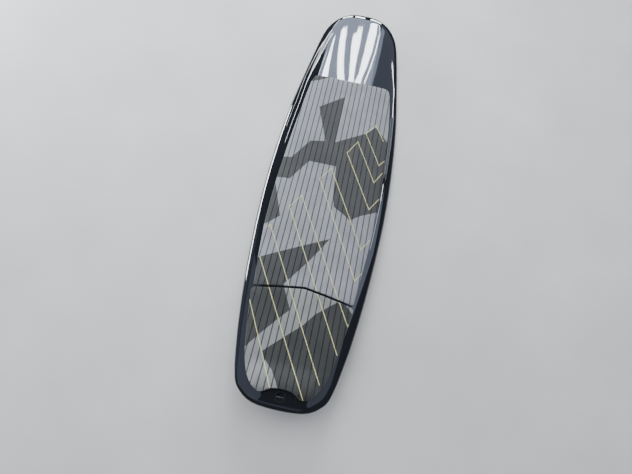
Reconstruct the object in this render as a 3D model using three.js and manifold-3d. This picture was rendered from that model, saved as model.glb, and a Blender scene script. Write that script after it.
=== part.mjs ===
// Directional strapless kiteboard: laminated hull over a foam core, two-piece deck pad with a kick,
// leash plug and three removable fins. Millimetres. The board is drawn level (x across, y from the tail
// towards the nose, z up) and then pitched so that it rests on its side fins and its belly.
import * as THREE from 'three';
import Module from 'manifold-3d';

const wasm = await Module();
wasm.setup();

// ---------------------------------------------------------------- driving dimensions
const LENGTH = 1606;
const MAX_THICKNESS = 52;
const THICKEST_AT = 750;
const TAIL_THINNING = 28;
const NOSE_THINNING = 32;
const THINNING_POWER = 2.4;
const RAIL_HEIGHT = 0.42; // height of the widest line, as a share of the thickness

const TAIL_ROCKER = 44;
const TAIL_ROCKER_FROM = 650;
const TAIL_ROCKER_POWER = 2.2;
const NOSE_ROCKER = 106;
const NOSE_ROCKER_FROM = 720;
const NOSE_ROCKER_POWER = 2.3;

const DECK_POWER = 4.5; // how boxy the deck side of the cross-section is
const BOTTOM_POWER = 10; // how boxy the bottom side is
const CONCAVE = 2; // depth of the hollow along the bottom
const TAIL_ROUND = 26; // length over which the tail end rounds off
const NOSE_ROUND = 42;

const SKIN = 1.4;
const GAP = 0.3; // clearance left between neighbouring pieces
const STRINGER_WIDTH = 5;
const STRINGER_FROM = 235;
const STRINGER_TO = 1560;

const PAD_THICKNESS = 4.5;
const PAD_INSET = 36; // bare border between the pad and the board's edge
const PAD_FRONT = 1249;
const PAD_FRONT_CORNER = 22;
const SEAM_AT = 361;
const SEAM_SWEEP = 25; // how far the seam falls back at the pad's edges
const SEAM_POWER = 1.1; // 1 would be a straight-sided chevron
const SEAM_GAP = 7;
const GROOVE_PITCH = 20;
const GROOVE_WIDTH = 4;
const GROOVE_DEPTH = 2;

const KICK_HEIGHT = 22;
const KICK_RAMP_FROM = 128;
const KICK_CREST = 64;
const KICK_HALF_WIDTH = 112;
const ARCH_PEAK = 57; // how far the arch in the pad's rear edge reaches forward
const PAD_REAR = 39;

const PLUG_AT = 36;
const PLUG_RADIUS = 14;
const PLUG_FLANGE_RADIUS = 15.5;
const PLUG_FLANGE = 1.2;
const PLUG_BORE = 11.5;
const PLUG_DEPTH = 15;
const PLUG_FLOOR = 2;
const PIN_RADIUS = 1.6;
const PIN_DEPTH = 3.4;
const PLUG_BLOCK_RADIUS = 24;

const BOX_LENGTH = 134;
const BOX_WIDTH = 26;
const BOX_DEPTH = 20;
const SLOT_FROM = -56; // slot ends, along the box from its centre
const SLOT_TO = 50;
const SLOT_WIDTH = 7.2;
const SLOT_DEPTH = 17;
const BLOCK_MARGIN = 9;
const BLOCK_DEPTH = 27;
const SCREW_AT = 57.5;
const SCREW_RADIUS = 2.5;
const SCREW_LENGTH = 8;
const SCREW_RECESS = 0.8;
const HEX_SOCKET = 1.4;

const FIN_BASE = 104;
const FIN_HALF_THICKNESS = 3.2;
const FIN_STANDOFF = 0.5;
const SIDE_FIN = { x: 138, y: 296, toe: 2.5, cant: 5, depth: 86 };
const REAR_FIN = { x: 0, y: 150, toe: 0, cant: 0, depth: 84 };

// half of the plan outline: [distance from the tail end, half width]
const OUTLINE = [
  [0, 0], [1, 34], [4, 66], [11, 91], [24, 113], [46, 135], [80, 149], [135, 163], [230, 182], [380, 204],
  [550, 221], [700, 230], [830, 232], [960, 229], [1100, 220], [1240, 203], [1360, 185], [1450, 169],
  [1500, 156], [1530, 142], [1556, 124], [1577, 101], [1592, 75], [1601, 48], [1605, 24], [1606, 0],
];

// ---------------------------------------------------------------- hull shape
const clamp01 = (v) => Math.min(1, Math.max(0, v));
const smooth = (v) => clamp01(v) * clamp01(v) * (3 - 2 * clamp01(v));

const outlineCurve = new THREE.SplineCurve(OUTLINE.map(([y, half]) => new THREE.Vector2(half, y)));
const outlineSamples = outlineCurve.getPoints(600);

function halfWidth(y) {
  for (let i = 1; i < outlineSamples.length; i += 1) {
    const a = outlineSamples[i - 1];
    const b = outlineSamples[i];
    if (y <= b.y) return Math.max(0, a.x + ((b.x - a.x) * (y - a.y)) / Math.max(1e-6, b.y - a.y));
  }
  return 0;
}

function rocker(y) {
  const tail = clamp01((TAIL_ROCKER_FROM - y) / TAIL_ROCKER_FROM);
  const nose = clamp01((y - NOSE_ROCKER_FROM) / (LENGTH - NOSE_ROCKER_FROM));
  return TAIL_ROCKER * tail ** TAIL_ROCKER_POWER + NOSE_ROCKER * nose ** NOSE_ROCKER_POWER;
}

function thickness(y) {
  const tail = clamp01((THICKEST_AT - y) / THICKEST_AT);
  const nose = clamp01((y - THICKEST_AT) / (LENGTH - THICKEST_AT));
  return MAX_THICKNESS - TAIL_THINNING * tail ** THINNING_POWER - NOSE_THINNING * nose ** THINNING_POWER;
}

// 1 along the board, rounding down to 0 at both ends
function endRound(y) {
  const quarter = (distance, length) => Math.sqrt(1 - (1 - clamp01(distance / length)) ** 2);
  return quarter(y, TAIL_ROUND) * quarter(LENGTH - y, NOSE_ROUND);
}

const railZ = (y) => rocker(y) + RAIL_HEIGHT * thickness(y);

// share: distance from the centreline as a share of the half width; inset: how far inside the surface
function deckHeight(y, share, inset = 0) {
  const rise = (1 - RAIL_HEIGHT) * thickness(y) - inset;
  return railZ(y) + rise * endRound(y) * Math.sqrt(1 - Math.min(1, share) ** DECK_POWER);
}

function bottomHeight(y, share, inset = 0) {
  const drop = RAIL_HEIGHT * thickness(y) - inset;
  const hollow = CONCAVE * endRound(y) * clamp01(1 - (share / 0.8) ** 2);
  return railZ(y) - drop * endRound(y) * Math.sqrt(1 - Math.min(1, share) ** BOTTOM_POWER) + hollow;
}

const deckZ = (x, y) => deckHeight(y, Math.abs(x) / Math.max(1, halfWidth(y)));
const bottomZ = (x, y) => bottomHeight(y, Math.abs(x) / Math.max(1, halfWidth(y)));
const slopeAt = (height, y) => Math.atan2(height(y + 12) - height(y - 12), 24);

// ---------------------------------------------------------------- mesh helpers
function geometryOf(points, faces) {
  const geometry = new THREE.BufferGeometry();
  geometry.setAttribute('position', new THREE.Float32BufferAttribute(points.flat(), 3));
  geometry.setIndex(faces.flat());
  return geometry;
}

function toSolid(geometry) {
  const position = geometry.getAttribute('position');
  const index = geometry.getIndex();
  const count = index ? index.count : position.count;
  const merged = new Map();
  const points = [];
  const corners = [];
  for (let i = 0; i < count; i += 1) {
    const v = index ? index.getX(i) : i;
    const p = [position.getX(v), position.getY(v), position.getZ(v)];
    const key = p.map((c) => Math.round(c * 1e4)).join(',');
    if (!merged.has(key)) {
      merged.set(key, points.length / 3);
      points.push(...p);
    }
    corners.push(merged.get(key));
  }
  const faces = [];
  let volume = 0;
  const corner = (v) => new THREE.Vector3().fromArray(points, 3 * v);
  for (let i = 0; i < corners.length; i += 3) {
    const [a, b, c] = corners.slice(i, i + 3);
    if (a === b || b === c || a === c) continue;
    faces.push(a, b, c);
    volume += corner(a).dot(corner(b).cross(corner(c)));
  }
  if (volume < 0) faces.reverse();
  return new wasm.Manifold(new wasm.Mesh({
    numProp: 3,
    vertProperties: new Float32Array(points),
    triVerts: new Uint32Array(faces),
  }));
}

function toGeometry(solid) {
  const mesh = solid.getMesh();
  const geometry = new THREE.BufferGeometry();
  const points = [];
  for (let i = 0; i < mesh.vertProperties.length; i += mesh.numProp) {
    points.push(mesh.vertProperties[i], mesh.vertProperties[i + 1], mesh.vertProperties[i + 2]);
  }
  geometry.setAttribute('position', new THREE.Float32BufferAttribute(points, 3));
  geometry.setIndex(Array.from(mesh.triVerts));
  return geometry;
}

// closed body between two surfaces that share one rim; rows run from tail to nose, columns from left to right
function sheetBody(upper, lower) {
  const rows = upper.length;
  const columns = upper[0].length;
  const points = [...upper.flat(), ...lower.flat()];
  const up = (r, c) => r * columns + c;
  const low = (r, c) => rows * columns + r * columns + c;
  const faces = [];
  const quad = (a, b, c, d) => faces.push([a, b, c], [a, c, d]);
  for (let r = 0; r + 1 < rows; r += 1) {
    for (let c = 0; c + 1 < columns; c += 1) {
      quad(up(r, c), up(r, c + 1), up(r + 1, c + 1), up(r + 1, c));
      quad(low(r, c), low(r + 1, c), low(r + 1, c + 1), low(r, c + 1));
    }
    quad(low(r, 0), up(r, 0), up(r + 1, 0), low(r + 1, 0));
    quad(up(r, columns - 1), low(r, columns - 1), low(r + 1, columns - 1), up(r + 1, columns - 1));
  }
  for (let c = 0; c + 1 < columns; c += 1) {
    quad(low(0, c), low(0, c + 1), up(0, c + 1), up(0, c));
    quad(up(rows - 1, c), up(rows - 1, c + 1), low(rows - 1, c + 1), low(rows - 1, c));
  }
  return toSolid(geometryOf(points, faces));
}

// ---------------------------------------------------------------- hull bodies
const DECK_SHARES = [0, 0.4, 0.68, 0.84, 0.93, 0.98, 1];
const BOTTOM_SHARES = [0, 0.55, 0.84, 0.94, 0.985, 1];
const mirrored = (shares) => [...shares.slice(1).reverse().map((s) => -s), ...shares];

const hullStations = [];
for (let i = 0; i < OUTLINE.length - 1; i += 1) {
  const span = OUTLINE[i + 1][0] - OUTLINE[i][0];
  const steps = span > 70 ? 2 : 1;
  for (let k = 0; k < steps; k += 1) {
    hullStations.push(outlineCurve.getPoint((i + k / steps) / (OUTLINE.length - 1)));
  }
}
hullStations.push(new THREE.Vector2(0, LENGTH));

// one surface of the hull, set inside the outer surface by inset, with its rim moved by lift
function hullSurface(height, shares, inset, lift) {
  return hullStations.map((station) => {
    const y = inset + (station.y * (LENGTH - 2 * inset)) / LENGTH;
    const half = Math.max(0, station.x - inset);
    return mirrored(shares).map((share) => {
      const rim = Math.max(Math.abs(share) ** 8, 1 - endRound(station.y));
      return [share * half, y, height(station.y, Math.abs(share), inset) + lift * rim];
    });
  });
}

function hullBody(inset) {
  const shares = [0, 0.55, 0.84, 0.96, 1];
  return sheetBody(hullSurface(deckHeight, shares, inset, 0), hullSurface(bottomHeight, shares, inset, 0));
}

const RIM_LIFT = 0.25;
const deckShell = sheetBody(
  hullSurface(deckHeight, DECK_SHARES, 0, RIM_LIFT),
  hullSurface(deckHeight, DECK_SHARES, SKIN, RIM_LIFT),
);
const bottomShell = sheetBody(
  hullSurface(bottomHeight, BOTTOM_SHARES, SKIN, -RIM_LIFT),
  hullSurface(bottomHeight, BOTTOM_SHARES, 0, -RIM_LIFT),
);
const coreBody = hullBody(SKIN + 3 * GAP);

// ---------------------------------------------------------------- plain solids in a local frame
function boxSolid(x0, x1, y0, y1, z0, z1) {
  const geometry = new THREE.BoxGeometry(x1 - x0, y1 - y0, z1 - z0);
  geometry.translate((x0 + x1) / 2, (y0 + y1) / 2, (z0 + z1) / 2);
  return toSolid(geometry);
}

function roundedPrism(length, width, corner, z0, z1) {
  const x = width / 2;
  const y = length / 2;
  const shape = new THREE.Shape();
  shape.moveTo(x - corner, -y);
  shape.absarc(x - corner, -y + corner, corner, -Math.PI / 2, 0);
  shape.absarc(x - corner, y - corner, corner, 0, Math.PI / 2);
  shape.absarc(-x + corner, y - corner, corner, Math.PI / 2, Math.PI);
  shape.absarc(-x + corner, -y + corner, corner, Math.PI, 1.5 * Math.PI);
  const geometry = new THREE.ExtrudeGeometry(shape, { depth: z1 - z0, bevelEnabled: false, curveSegments: 5 });
  geometry.translate(0, 0, z0);
  return toSolid(geometry);
}

// upright round solid from a [radius, z] profile that starts and ends on the axis
function turned(profile, segments = 32) {
  const geometry = new THREE.LatheGeometry(profile.map(([r, z]) => new THREE.Vector2(r, z)), segments);
  geometry.rotateX(Math.PI / 2);
  return toSolid(geometry);
}

const rod = (radius, z0, z1, segments) => turned([[0, z0], [radius, z0], [radius, z1], [0, z1]], segments);

function placed(solid, matrix) {
  const geometry = toGeometry(solid);
  geometry.applyMatrix4(matrix);
  return toSolid(geometry);
}

// ---------------------------------------------------------------- fins, boxes and their blocks
// local frame of a box: z out of the board's bottom, y towards the nose, turned in by the toe angle
function boxFrame({ x, y, toe }, side) {
  const centreSlope = slopeAt(rocker, y);
  const origin = new THREE.Vector3(side * x, y, bottomZ(x, y));
  const frame = new THREE.Matrix4().makeTranslation(origin.x, origin.y, origin.z);
  frame.multiply(new THREE.Matrix4().makeRotationX(centreSlope));
  frame.multiply(new THREE.Matrix4().makeRotationZ((side * toe * Math.PI) / 180));
  frame.multiply(new THREE.Matrix4().makeRotationY(Math.PI));
  return frame;
}

// in the turned-over box frame +x points to the board's left
const cantFrame = ({ cant }, side) => new THREE.Matrix4().makeRotationY((-side * cant * Math.PI) / 180);

// blade from its base at the board to its tip; outboard is the local x side that carries the full foil
function finBlade(depth, outboard, flatInside) {
  const rows = 10;
  const shares = [0, 0.03, 0.1, 0.25, 0.45, 0.7, 0.9, 1];
  const foil = (s) => (2.6 * (0.2969 * Math.sqrt(s) - 0.126 * s - 0.3516 * s ** 2 + 0.2843 * s ** 3
    - 0.1015 * s ** 4) + 0.03 * s) / 0.269;
  const surface = (xSide) => Array.from({ length: rows }, (_, row) => {
    const reach = Math.sin(((row / (rows - 1)) * Math.PI) / 2);
    const leading = FIN_BASE / 2 - 14 * reach - 64 * reach ** 2.4 - 16 * reach ** 10;
    const trailing = -FIN_BASE / 2 + 27 * Math.sin(Math.PI * 0.62 * reach) - 62 * reach ** 2.2;
    const chord = Math.max(7, leading - trailing);
    const half = FIN_HALF_THICKNESS * (1 - 0.68 * reach ** 1.6);
    return shares.map((s) => {
      const offset = flatInside && xSide !== outboard ? 0.3 : half * foil(s);
      return [xSide * offset, leading - chord * s, FIN_STANDOFF + depth * reach];
    });
  });
  return sheetBody(surface(-1), surface(1));
}

function finSet(spec, side) {
  const frame = boxFrame(spec, side);
  const canted = frame.clone().multiply(cantFrame(spec, side));
  const slot = boxSolid(-SLOT_WIDTH / 2, SLOT_WIDTH / 2, SLOT_FROM, SLOT_TO, -SLOT_DEPTH, 8);
  const screwHole = rod(SCREW_RADIUS + GAP, -SCREW_RECESS - SCREW_LENGTH - GAP, 8, 24);
  const body = roundedPrism(BOX_LENGTH, BOX_WIDTH, 10, -BOX_DEPTH, 0);
  const screwFrame = new THREE.Matrix4().makeTranslation(0, SCREW_AT, 0);
  const box = body.subtract(placed(slot, cantFrame(spec, side))).subtract(placed(screwHole, screwFrame));

  const tab = boxSolid(
    -SLOT_WIDTH / 2 + GAP, SLOT_WIDTH / 2 - GAP, SLOT_FROM + GAP, SLOT_TO - GAP, -SLOT_DEPTH + GAP, FIN_STANDOFF + 0.2,
  );
  const fin = finBlade(spec.depth, -side, spec.cant !== 0).add(tab);

  const socket = rod(HEX_SOCKET, -SCREW_RECESS - 3, 8, 6);
  const screw = rod(SCREW_RADIUS, -SCREW_RECESS - SCREW_LENGTH, -SCREW_RECESS, 20).subtract(socket);

  const margin = BLOCK_MARGIN;
  const blockSize = [BOX_LENGTH + 2 * margin, BOX_WIDTH + 2 * margin];
  return {
    frame,
    canted,
    screwFrame: frame.clone().multiply(screwFrame),
    box: placed(box, frame),
    fin: placed(fin, canted),
    screw: placed(screw, frame.clone().multiply(screwFrame)),
    boxRoom: placed(roundedPrism(BOX_LENGTH + 2 * GAP, BOX_WIDTH + 2 * GAP, 10 + GAP, -BOX_DEPTH - GAP, 12), frame),
    block: placed(roundedPrism(blockSize[0], blockSize[1], 14, -BLOCK_DEPTH, 12), frame),
    blockRoom: placed(
      roundedPrism(blockSize[0] + 2 * GAP, blockSize[1] + 2 * GAP, 14 + GAP, -BLOCK_DEPTH - GAP, 12), frame,
    ),
  };
}

const finSets = {
  left: finSet(SIDE_FIN, -1),
  right: finSet(SIDE_FIN, 1),
  rear: finSet(REAR_FIN, 1),
};

// ---------------------------------------------------------------- leash plug
const deckSlope = slopeAt((y) => deckZ(0, y), PLUG_AT);
const plugFrame = new THREE.Matrix4().makeTranslation(0, PLUG_AT, deckZ(0, PLUG_AT) + 0.6);
plugFrame.multiply(new THREE.Matrix4().makeRotationX(deckSlope));

const plugPin = placed(
  rod(PIN_RADIUS, -PLUG_BORE - 1.2, PLUG_BORE + 1.2, 20),
  new THREE.Matrix4().makeTranslation(0, 0, -PIN_DEPTH).multiply(new THREE.Matrix4().makeRotationY(Math.PI / 2)),
);
const pinRoom = placed(
  rod(PIN_RADIUS + GAP, -PLUG_BORE - 1.2 - GAP, PLUG_BORE + 1.2 + GAP, 20),
  new THREE.Matrix4().makeTranslation(0, 0, -PIN_DEPTH).multiply(new THREE.Matrix4().makeRotationY(Math.PI / 2)),
);
const plugCup = turned([
  [0, -PLUG_DEPTH],
  [PLUG_RADIUS - 2, -PLUG_DEPTH],
  [PLUG_RADIUS, -PLUG_DEPTH + 2],
  [PLUG_RADIUS, 0],
  [PLUG_FLANGE_RADIUS, 0],
  [PLUG_FLANGE_RADIUS - 0.5, PLUG_FLANGE],
  [PLUG_BORE + 0.6, PLUG_FLANGE],
  [PLUG_BORE, PLUG_FLANGE - 0.7],
  [PLUG_BORE, -PLUG_DEPTH + PLUG_FLOOR + 2],
  [PLUG_BORE - 2, -PLUG_DEPTH + PLUG_FLOOR],
  [0, -PLUG_DEPTH + PLUG_FLOOR],
], 36).subtract(pinRoom);
const plugRoom = placed(rod(PLUG_RADIUS + GAP, -PLUG_DEPTH - GAP, 12, 36), plugFrame);
const plugBlock = placed(rod(PLUG_BLOCK_RADIUS, -PLUG_DEPTH - 3, 12, 32), plugFrame);
const plugBlockRoom = placed(rod(PLUG_BLOCK_RADIUS + GAP, -PLUG_DEPTH - 3 - GAP, 12, 32), plugFrame);

// ---------------------------------------------------------------- deck pads
const seamY = (x) => SEAM_AT - SEAM_SWEEP * (Math.abs(x) / 155) ** SEAM_POWER;

function kick(x, y) {
  const along = y > KICK_CREST ? 1 - smooth((y - KICK_CREST) / (KICK_RAMP_FROM - KICK_CREST)) : 1;
  const rearFall = 1 - 0.35 * smooth((KICK_CREST - 8 - y) / 24);
  const across = 1 - smooth((Math.abs(x) - KICK_HALF_WIDTH + 34) / 40);
  return KICK_HEIGHT * along * rearFall * across;
}

function prismOf(outline) {
  const shape = new THREE.Shape(outline.map(([x, y]) => new THREE.Vector2(x, y)));
  const geometry = new THREE.ExtrudeGeometry(shape, { depth: 400, bevelEnabled: false });
  geometry.translate(0, 0, -100);
  return toSolid(geometry);
}

// right half of a symmetric outline, closed by its mirror image
const closedOutline = (right) => [...right, ...right.slice().reverse().filter(([x]) => x > 0).map(([x, y]) => [-x, y])];
const padHalf = (y) => halfWidth(y) - PAD_INSET;

function frontPadOutline() {
  const right = [[0, PAD_FRONT]];
  const cornerX = padHalf(PAD_FRONT) - PAD_FRONT_CORNER;
  for (let i = 0; i <= 5; i += 1) {
    const a = (i / 5) * (Math.PI / 2);
    right.push([cornerX + PAD_FRONT_CORNER * Math.sin(a), PAD_FRONT - PAD_FRONT_CORNER * (1 - Math.cos(a))]);
  }
  for (let y = 1190; y > 380; y -= 54) right.push([padHalf(y), y]);
  const edge = padHalf(352);
  right.push([edge, seamY(edge) + SEAM_GAP / 2 + 9], [edge - 8, seamY(edge - 8) + SEAM_GAP / 2]);
  for (const x of [125, 95, 60, 28, 0]) right.push([x, seamY(x) + SEAM_GAP / 2]);
  return closedOutline(right);
}

function tailPadOutline(inset = 0) {
  const right = [];
  const edge = padHalf(325);
  for (const x of [0, 28, 60, 95, 125]) right.push([x, seamY(x) - SEAM_GAP / 2]);
  right.push([edge - 8, seamY(edge - 8) - SEAM_GAP / 2], [edge, seamY(edge) - SEAM_GAP / 2 - 9]);
  for (const y of [280, 230, 180, 135]) right.push([padHalf(y) - inset, y]);
  right.push([118 - inset, 100], [108 - inset, 76], [93 - inset, 57 + inset], [76 - inset, 44 + inset]);
  right.push([62, PAD_REAR + inset], [50, PAD_REAR + 3 + inset]);
  right.push([38, ARCH_PEAK - 7 + inset], [22, ARCH_PEAK - 2 + inset], [0, ARCH_PEAK + inset]);
  return closedOutline(right);
}

// body from a level floor up to the surface height(x, y), over a grid of the given lines
function groundBody(xs, ys, height) {
  const upper = ys.map((y) => xs.map((x) => [x, y, height(x, y)]));
  const lower = ys.map((y) => xs.map((x) => [x, y, -80]));
  return sheetBody(upper, lower);
}

const grooveLines = [-215];
const grooveFloor = new Set();
for (let k = -10; k < 10; k += 1) {
  const x = (k + 0.5) * GROOVE_PITCH;
  const w = GROOVE_WIDTH / 2;
  grooveLines.push(x - w, x, x + w);
  grooveFloor.add(x);
}
grooveLines.push(215);
const plainLines = Array.from({ length: 23 }, (_, i) => (i - 11) * GROOVE_PITCH);
const stationsBetween = (from, to, step) => {
  const count = Math.ceil((to - from) / step);
  return Array.from({ length: count + 1 }, (_, i) => from + ((to - from) * i) / count);
};

const padTop = (x, y) => deckZ(x, y) + GAP + PAD_THICKNESS + kick(x, y) - (grooveFloor.has(x) ? GROOVE_DEPTH : 0);
const wedgeTop = (x, y) => deckZ(x, y) + GAP + kick(x, y) - 0.8;
const wedgeRoom = (x, y) => wedgeTop(x, y) + GAP;

const frontStations = stationsBetween(320, 1260, 90);
const tailStations = [30, 42, 54, 64, 75, 87, 99, 112, 128, 190, 280, 370];
const deckOutside = hullSurface(deckHeight, DECK_SHARES, 0, 0);
const deckBed = sheetBody(
  deckOutside.map((row) => row.map(([x, y, z]) => [x, y, z + GAP])),
  deckOutside.map((row) => row.map(([x, y]) => [x, y, -80])),
);

const frontPad = groundBody(grooveLines, frontStations, padTop)
  .subtract(deckBed)
  .intersect(prismOf(frontPadOutline()));
const tailPad = groundBody(grooveLines, tailStations, padTop)
  .subtract(deckBed)
  .subtract(groundBody(plainLines, tailStations, wedgeRoom))
  .intersect(prismOf(tailPadOutline()));
const kickBlock = groundBody(plainLines, tailStations, wedgeTop)
  .subtract(deckBed)
  .intersect(prismOf(tailPadOutline(5)))
  .intersect(boxSolid(-KICK_HALF_WIDTH, KICK_HALF_WIDTH, 20, KICK_RAMP_FROM - 14, -50, 200));

// ---------------------------------------------------------------- cut the hull for what is set into it
const rooms = Object.values(finSets);
let bottomSkin = bottomShell;
let core = coreBody.subtract(plugBlockRoom);
for (const room of rooms) {
  bottomSkin = bottomSkin.subtract(room.boxRoom);
  core = core.subtract(room.blockRoom);
}
const deckSkin = deckShell.subtract(plugRoom);

const stringerHalf = STRINGER_WIDTH / 2;
const stringer = coreBody.intersect(boxSolid(-stringerHalf, stringerHalf, STRINGER_FROM, STRINGER_TO, -50, 300));
const stringerRoom = boxSolid(-stringerHalf - GAP, stringerHalf + GAP, -10, LENGTH + 10, -50, 300);
const coreHalves = core.subtract(stringerRoom);
const coreLeft = coreHalves.intersect(boxSolid(-400, 0, -50, LENGTH + 50, -50, 300));
const coreRight = coreHalves.intersect(boxSolid(0, 400, -50, LENGTH + 50, -50, 300));

const blocks = {};
for (const [name, set] of Object.entries(finSets)) {
  blocks[name] = coreBody.intersect(set.block).subtract(set.boxRoom);
}
const leashBlock = coreBody.intersect(plugBlock).subtract(plugRoom);

// ---------------------------------------------------------------- nodes
const paint = (color, roughness, metalness) => new THREE.MeshStandardMaterial({ color, roughness, metalness });
const finish = {
  navy: () => paint(0x10151d, 0.12, 0.1),
  foam: () => paint(0xdfe3e2, 0.9, 0),
  denseFoam: () => paint(0xb9a77a, 0.85, 0),
  wood: () => paint(0xa97c48, 0.7, 0),
  frontPad: () => paint(0x9a9ea2, 0.85, 0),
  tailPad: () => paint(0x77797a, 0.85, 0),
  kick: () => paint(0x3a3c3e, 0.9, 0),
  plastic: () => paint(0x16181a, 0.45, 0),
  steel: () => paint(0xb9bcc0, 0.3, 1),
  fin: () => paint(0x1b1f24, 0.25, 0.05),
};

const level = new THREE.Group();
function node(name, solid, material) {
  const mesh = new THREE.Mesh(toGeometry(solid), material);
  mesh.name = name;
  level.add(mesh);
}

node('deck_skin', deckSkin, finish.navy());
node('bottom_skin', bottomSkin, finish.navy());
node('core_left', coreLeft, finish.foam());
node('core_right', coreRight, finish.foam());
node('stringer', stringer, finish.wood());
node('front_pad', frontPad, finish.frontPad());
node('tail_pad', tailPad, finish.tailPad());
node('tail_kick_block', kickBlock, finish.kick());
node('leash_plug_cup', placed(plugCup, plugFrame), finish.plastic());
node('leash_plug_pin', placed(plugPin, plugFrame), finish.steel());
node('leash_plug_block', leashBlock, finish.denseFoam());
for (const [name, set] of Object.entries(finSets)) {
  node(`fin_block_${name}`, blocks[name], finish.denseFoam());
  node(`fin_box_${name}`, set.box, finish.plastic());
  node(`fin_${name}`, set.fin, finish.fin());
  node(`fin_screw_${name}`, set.screw, finish.steel());
}

// ---------------------------------------------------------------- resting attitude
// pitch at which the side fins' tips and the belly touch one level floor
const lowest = (names, pitch) => {
  let low = Infinity;
  for (const mesh of level.children) {
    if (!names.some((name) => mesh.name.startsWith(name))) continue;
    const position = mesh.geometry.getAttribute('position');
    for (let i = 0; i < position.count; i += 1) {
      low = Math.min(low, position.getZ(i) * Math.cos(pitch) - position.getY(i) * Math.sin(pitch));
    }
  }
  return low;
};
let flat = 0;
let steep = 0.3;
for (let i = 0; i < 40; i += 1) {
  const middle = (flat + steep) / 2;
  if (lowest(['fin_left'], middle) < lowest(['bottom_skin'], middle)) flat = middle;
  else steep = middle;
}
level.rotation.x = -flat;
level.updateMatrixWorld(true);

const bounds = new THREE.Box3().setFromObject(level, true);
const kiteboard = new THREE.Group();
kiteboard.name = 'kiteboard';
kiteboard.position.set(
  -(bounds.min.x + bounds.max.x) / 2,
  -(bounds.min.y + bounds.max.y) / 2,
  -bounds.min.z,
);
kiteboard.add(level);

export default kiteboard;
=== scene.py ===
"""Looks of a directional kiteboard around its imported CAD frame: glossy laminated hull, grooved
two-piece deck pad with a kick, leash plug, three fins in their boxes.

Lengths in the shape code are millimetres in the board's own level frame (x across, y from the tail
to the nose, z up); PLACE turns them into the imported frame, in metres."""

import math

import bpy
import bmesh
import numpy as np
from mathutils import Matrix, Vector
from mathutils.geometry import delaunay_2d_cdt


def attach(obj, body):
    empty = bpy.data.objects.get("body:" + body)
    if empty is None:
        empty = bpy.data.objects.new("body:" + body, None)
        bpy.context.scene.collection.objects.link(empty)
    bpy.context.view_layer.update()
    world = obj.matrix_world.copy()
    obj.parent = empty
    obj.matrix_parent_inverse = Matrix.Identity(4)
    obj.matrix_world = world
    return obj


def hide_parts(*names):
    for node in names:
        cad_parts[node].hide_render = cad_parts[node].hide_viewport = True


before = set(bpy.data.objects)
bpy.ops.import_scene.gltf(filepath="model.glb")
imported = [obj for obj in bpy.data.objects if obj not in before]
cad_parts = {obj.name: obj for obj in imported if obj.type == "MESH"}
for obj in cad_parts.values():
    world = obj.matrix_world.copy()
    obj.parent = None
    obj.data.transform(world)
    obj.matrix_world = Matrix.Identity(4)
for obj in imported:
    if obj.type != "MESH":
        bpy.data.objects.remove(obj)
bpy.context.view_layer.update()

# ---------------------------------------------------------------- camera
# The photograph's viewpoint, its rightward and downward directions, and its focal length.
CAMERA_AT = (0.0235, -0.6261, 1.2598)
CAMERA_RIGHT = Vector((0.9773, 0.2068, 0.0448))
CAMERA_DOWN = Vector((0.2107, -0.9314, -0.2969))
FOCAL_PIXELS = 358.3
IMAGE_WIDTH = 632
SENSOR_WIDTH = 36
CLIP_NEAR, CLIP_FAR = 0.01, 60

camera_data = bpy.data.cameras.new("camera")
camera_data.sensor_width = SENSOR_WIDTH
camera_data.lens = SENSOR_WIDTH * FOCAL_PIXELS / IMAGE_WIDTH
camera_data.clip_start, camera_data.clip_end = CLIP_NEAR, CLIP_FAR
camera = bpy.data.objects.new("camera", camera_data)
bpy.context.scene.collection.objects.link(camera)
right = CAMERA_RIGHT.normalized()
up = (-CAMERA_DOWN - right * (-CAMERA_DOWN).dot(right)).normalized()
camera.matrix_world = (
    Matrix.Translation(CAMERA_AT) @ Matrix((right, up, right.cross(up))).transposed().to_4x4()
)
bpy.context.scene.camera = camera

# ---------------------------------------------------------------- board shape, as in the CAD
LENGTH = 1606
MAX_THICKNESS, THICKEST_AT = 52, 750
TAIL_THINNING, NOSE_THINNING, THINNING_POWER = 28, 32, 2.4
RAIL_HEIGHT = 0.42
TAIL_ROCKER, TAIL_ROCKER_FROM, TAIL_ROCKER_POWER = 44, 650, 2.2
NOSE_ROCKER, NOSE_ROCKER_FROM, NOSE_ROCKER_POWER = 106, 720, 2.3
DECK_POWER, BOTTOM_POWER = 4.5, 10
CONCAVE, CONCAVE_SPAN = 2, 0.8
TAIL_ROUND, NOSE_ROUND = 26, 42
SKIN, GAP = 1.4, 0.3
PITCH = math.radians(5.8266)
SHIFT_Y, SHIFT_Z = -807.4033, 95.5499
# (y, half width) from the tail to the nose
OUTLINE = np.array([
    (0, 0), (1, 34), (4, 66), (11, 91), (24, 113), (46, 135), (80, 149), (135, 163), (230, 182),
    (380, 204), (550, 221), (700, 230), (830, 232), (960, 229), (1100, 220), (1240, 203),
    (1360, 185), (1450, 169), (1500, 156), (1530, 142), (1556, 124), (1577, 101), (1592, 75),
    (1601, 48), (1605, 24), (1606, 0),
], float)
EDGE_STEPS = 24
SLOPE_STEP = 12

PLACE = (
    Matrix.Scale(0.001, 4)
    @ Matrix.Translation((0, SHIFT_Y, SHIFT_Z))
    @ Matrix.Rotation(-PITCH, 4, "X")
)


def spline(points, per_span):
    """Catmull-Rom curve through the points, with per_span steps between neighbours."""
    last = len(points) - 1
    samples = []
    for i in range(last):
        a, b, c, d = (points[min(max(k, 0), last)] for k in (i - 1, i, i + 1, i + 2))
        v0, v1 = (c - a) / 2, (d - b) / 2
        cubic, square = 2 * b - 2 * c + v0 + v1, -3 * b + 3 * c - 2 * v0 - v1
        for k in range(per_span):
            t = k / per_span
            samples.append(cubic * t**3 + square * t**2 + v0 * t + b)
    samples.append(points[-1])
    return np.array(samples)


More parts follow.
